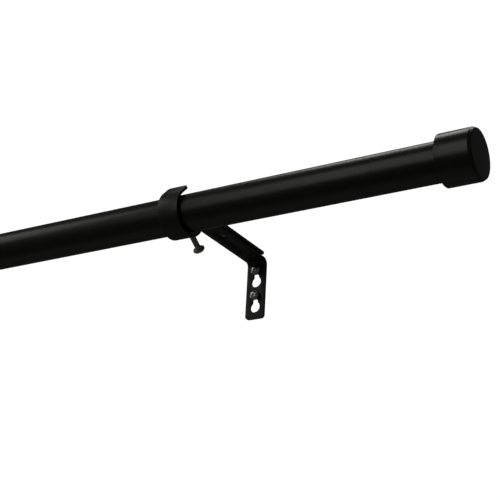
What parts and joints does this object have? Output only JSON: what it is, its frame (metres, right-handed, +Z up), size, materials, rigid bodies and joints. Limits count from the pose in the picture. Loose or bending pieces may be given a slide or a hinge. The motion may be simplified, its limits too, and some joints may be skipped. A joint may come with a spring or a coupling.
{
  "type": "curtain rod with brackets",
  "caption": "Telescoping round curtain rod with flat end caps, carried in open hooks on slotted strap arms that adjust on L-shaped keyhole wall plates.",
  "frame": {"origin": "on the back face of the right wall plate, at its middle width and between its two keyholes", "axes": "+X along the rod towards the outer tube's end cap, +Y into the wall, +Z up"},
  "size_m": [0.9612, 0.1283, 0.0574],
  "materials": {
    "black_powder_coat": "satin, fine orange peel",
    "zinc_plated_steel": "dull zinc plate",
    "black_plastic": "fine moulded texture",
    "white_nylon": "smooth moulded"
  },
  "bodies": {
    "wall_brackets": {"right_wall_plate": "black_powder_coat", "left_wall_plate": "black_powder_coat", "right_upper_wall_screw": "zinc_plated_steel", "right_lower_wall_screw": "zinc_plated_steel", "left_upper_wall_screw": "zinc_plated_steel", "left_lower_wall_screw": "zinc_plated_steel"},
    "right_arm": {"right_cradle_arm": "black_powder_coat"},
    "left_arm": {"left_cradle_arm": "black_powder_coat"},
    "right_lock": {"right_projection_lock_screw": "zinc_plated_steel", "right_lock_washer": "zinc_plated_steel"},
    "left_lock": {"left_projection_lock_screw": "zinc_plated_steel", "left_lock_washer": "zinc_plated_steel"},
    "right_set": {"right_rod_set_screw": "zinc_plated_steel"},
    "left_set": {"left_rod_set_screw": "zinc_plated_steel"},
    "rod": {"outer_tube": "black_powder_coat", "tube_collar": "black_plastic"},
    "inner_rod": {"inner_tube": "black_powder_coat", "inner_tube_end_plug": "white_nylon"},
    "right_cap": {"right_end_cap": "black_powder_coat", "right_cap_liner": "black_plastic"},
    "left_cap": {"left_end_cap": "black_powder_coat", "left_cap_liner": "black_plastic"}
  },
  "joints": [
    {"name": "right_arm_projection", "type": "slide", "parent": "wall_brackets", "child": "right_arm", "axis": [0, -1, 0], "range_m": [0, 0.025]},
    {"name": "left_arm_projection", "type": "slide", "parent": "wall_brackets", "child": "left_arm", "axis": [0, -1, 0], "range_m": [0, 0.025]},
    {"name": "right_lock_screw_back_out", "type": "slide", "parent": "wall_brackets", "child": "right_lock", "axis": [0, 0, 1], "range_m": [0, 0.003]},
    {"name": "left_lock_screw_back_out", "type": "slide", "parent": "wall_brackets", "child": "left_lock", "axis": [0, 0, 1], "range_m": [0, 0.003]},
    {"name": "rod_lift_out", "type": "slide", "parent": "right_arm", "child": "rod", "axis": [0, 0.5878, 0.809], "range_m": [0, 0.045]},
    {"name": "rod_telescope", "type": "slide", "parent": "rod", "child": "inner_rod", "axis": [-1, 0, 0], "range_m": [-0.175, 0.3]},
    {"name": "right_cap_pull", "type": "slide", "parent": "rod", "child": "right_cap", "axis": [1, 0, 0], "range_m": [0, 0.025]},
    {"name": "left_cap_pull", "type": "slide", "parent": "inner_rod", "child": "left_cap", "axis": [-1, 0, 0], "range_m": [0, 0.025]},
    {"name": "right_set_screw_back_out", "type": "slide", "parent": "right_arm", "child": "right_set", "axis": [0, 0.8387, -0.5446], "range_m": [0, 0.008]},
    {"name": "left_set_screw_back_out", "type": "slide", "parent": "left_arm", "child": "left_set", "axis": [0, 0.8387, -0.5446], "range_m": [0, 0.008]}
  ],
  "couplings": [
    {"joint": "left_arm_projection", "follows": "right_arm_projection", "ratio": 1}
  ]
}
